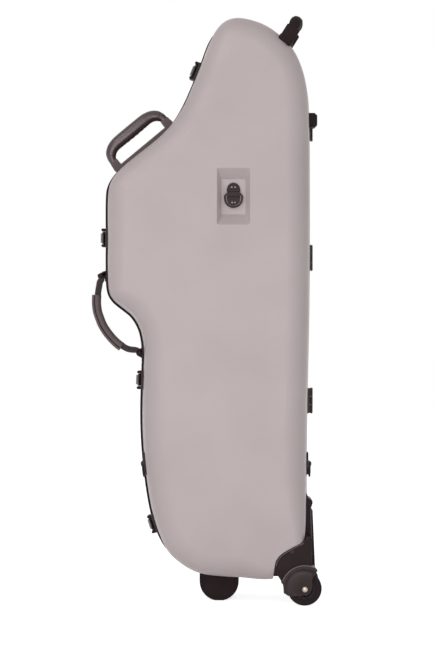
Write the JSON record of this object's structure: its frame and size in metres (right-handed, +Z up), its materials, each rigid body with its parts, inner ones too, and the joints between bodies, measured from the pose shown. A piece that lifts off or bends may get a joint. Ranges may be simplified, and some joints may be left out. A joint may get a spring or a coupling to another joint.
{
  "type": "baritone saxophone case",
  "caption": "Hard two-shell case shaped to a baritone saxophone, with latches, hinged lid, carry, grab and pull handles, strap rings, rubber foot and transport wheels.",
  "frame": {"origin": "bottom centre of the part's box, on the floor that the foot and the wheels stand on", "axes": "+Z up along the case's length, +X towards the hinges and wheels, -Y towards the viewer, out of the near shell's face"},
  "size_m": [0.4506, 0.25, 1.1454],
  "materials": {
    "near_shell_plastic": "satin moulded, pale warm grey",
    "far_shell_plastic": "satin moulded, pale warm grey",
    "lining_foam": "short black pile over foam",
    "black_rubber": "matt",
    "tyre_rubber": "matt, worn tread",
    "grip_rubber": "soft satin grip",
    "strap_webbing": "woven tape",
    "black_plastic": "moulded, fine grain",
    "black_metal": "black coated steel, rubbed edges",
    "bright_steel": "plated"
  },
  "bodies": {
    "root": {"base_lining": "lining_foam", "base_shell": "near_shell_plastic", "bell_cradle": "lining_foam", "body_cradle": "lining_foam", "bracket_screw": "bright_steel", "carry_mount_lower": "black_plastic", "carry_mount_upper": "black_plastic", "front_fender": "black_plastic", "grab_handle_base": "black_plastic", "grab_handle_grip": "grip_rubber", "hinge_1_base_leaf": "black_metal", "hinge_1_pin": "bright_steel", "hinge_2_base_leaf": "black_metal", "hinge_2_pin": "bright_steel", "hinge_3_base_leaf": "black_metal", "hinge_3_pin": "bright_steel", "hinge_bumper": "black_plastic", "latch_1_plate": "black_metal", "latch_2_plate": "black_metal", "latch_3_plate": "black_metal", "latch_4_plate": "black_metal", "left_strap_plate": "black_metal", "pull_handle_base": "black_plastic", "pull_handle_grip": "grip_rubber", "rear_fender": "black_plastic", "recess_strap_plate": "black_metal", "right_strap_plate": "black_metal", "rubber_foot": "black_rubber", "seam_seal": "black_rubber", "wheel_axle": "bright_steel", "wheel_bracket": "black_plastic"},
    "lid": {"hinge_1_lid_leaf": "black_metal", "hinge_2_lid_leaf": "black_metal", "hinge_3_lid_leaf": "black_metal", "latch_1_keeper": "black_metal", "latch_2_keeper": "black_metal", "latch_3_keeper": "black_metal", "latch_4_keeper": "black_metal", "lid_lining": "lining_foam", "lid_shell": "far_shell_plastic"},
    "carry_handle": {"carry_sleeve": "grip_rubber", "carry_strap": "strap_webbing"},
    "front_wheel": {"front_hub": "black_plastic", "front_tyre": "tyre_rubber"},
    "rear_wheel": {"rear_hub": "black_plastic", "rear_tyre": "tyre_rubber"},
    "recess_ring": {"recess_strap_ring": "black_metal"},
    "left_ring": {"left_strap_ring": "black_metal"},
    "right_ring": {"right_strap_ring": "black_metal"},
    "latch_1_lever": {"latch_1_lever": "black_metal"},
    "latch_1_bail": {"latch_1_bail": "black_metal"},
    "latch_2_lever": {"latch_2_lever": "black_metal"},
    "latch_2_bail": {"latch_2_bail": "black_metal"},
    "latch_3_lever": {"latch_3_lever": "black_metal"},
    "latch_3_bail": {"latch_3_bail": "black_metal"},
    "latch_4_lever": {"latch_4_lever": "black_metal"},
    "latch_4_bail": {"latch_4_bail": "black_metal"}
  },
  "joints": [
    {"name": "lid_hinge", "type": "hinge", "parent": "root", "child": "lid", "pos_m": [0.2125, 0.03, 0.674], "axis": [0, 0, -1], "range_deg": [0, 90]},
    {"name": "latch_1_lever_pivot", "type": "hinge", "parent": "root", "child": "latch_1_lever", "pos_m": [-0.10744, 0.018, 0.14462], "axis": [0.2971, 0, -0.9549], "range_deg": [0, 90]},
    {"name": "latch_1_bail_pivot", "type": "hinge", "parent": "latch_1_lever", "child": "latch_1_bail", "pos_m": [-0.10601, 0.009, 0.14507], "axis": [0.2971, 0, -0.9549], "range_deg": [-90, 0]},
    {"name": "latch_2_lever_pivot", "type": "hinge", "parent": "root", "child": "latch_2_lever", "pos_m": [-0.13211, 0.018, 0.43127], "axis": [-0.0314, 0, -0.9995], "range_deg": [0, 90]},
    {"name": "latch_2_bail_pivot", "type": "hinge", "parent": "latch_2_lever", "child": "latch_2_bail", "pos_m": [-0.13061, 0.009, 0.43123], "axis": [-0.0314, 0, -0.9995], "range_deg": [-90, 0]},
    {"name": "latch_3_lever_pivot", "type": "hinge", "parent": "root", "child": "latch_3_lever", "pos_m": [-0.20252, 0.018, 0.71295], "axis": [0, 0, -1], "range_deg": [0, 90]},
    {"name": "latch_3_bail_pivot", "type": "hinge", "parent": "latch_3_lever", "child": "latch_3_bail", "pos_m": [-0.20102, 0.009, 0.71295], "axis": [0, 0, -1], "range_deg": [-90, 0]},
    {"name": "latch_4_lever_pivot", "type": "hinge", "parent": "root", "child": "latch_4_lever", "pos_m": [-0.02257, 0.018, 1.04495], "axis": [-0.3719, 0, -0.9283], "range_deg": [0, 90]},
    {"name": "latch_4_bail_pivot", "type": "hinge", "parent": "latch_4_lever", "child": "latch_4_bail", "pos_m": [-0.02118, 0.009, 1.04439], "axis": [-0.3719, 0, -0.9283], "range_deg": [-90, 0]},
    {"name": "recess_ring_swing", "type": "hinge", "parent": "root", "child": "recess_ring", "pos_m": [0.0555, -0.11, 0.79196], "axis": [-1, 0, 0], "range_deg": [0, 165]},
    {"name": "left_ring_swing", "type": "hinge", "parent": "root", "child": "left_ring", "pos_m": [-0.12243, -0.032, 0.26784], "axis": [0, 1, 0], "range_deg": [0, 165]},
    {"name": "right_ring_swing", "type": "hinge", "parent": "root", "child": "right_ring", "pos_m": [0.20555, -0.032, 0.26799], "axis": [0, -1, 0], "range_deg": [0, 165]},
    {"name": "carry_handle_swing", "type": "hinge", "parent": "root", "child": "carry_handle", "pos_m": [-0.20697, 0.015, 0.63794], "axis": [0.4473, 0, -0.8944], "range_deg": [-45, 45]},
    {"name": "front_wheel_spin", "type": "hinge", "parent": "root", "child": "front_wheel", "pos_m": [0.1923, -0.106, 0.033], "axis": [0, 1, 0], "continuous": true},
    {"name": "rear_wheel_spin", "type": "hinge", "parent": "root", "child": "rear_wheel", "pos_m": [0.1923, 0.006, 0.033], "axis": [0, 1, 0], "continuous": true}
  ],
  "couplings": [
    {"joint": "latch_1_bail_pivot", "follows": "latch_1_lever_pivot", "ratio": -1},
    {"joint": "latch_2_bail_pivot", "follows": "latch_2_lever_pivot", "ratio": -1},
    {"joint": "latch_3_bail_pivot", "follows": "latch_3_lever_pivot", "ratio": -1},
    {"joint": "latch_4_bail_pivot", "follows": "latch_4_lever_pivot", "ratio": -1}
  ]
}
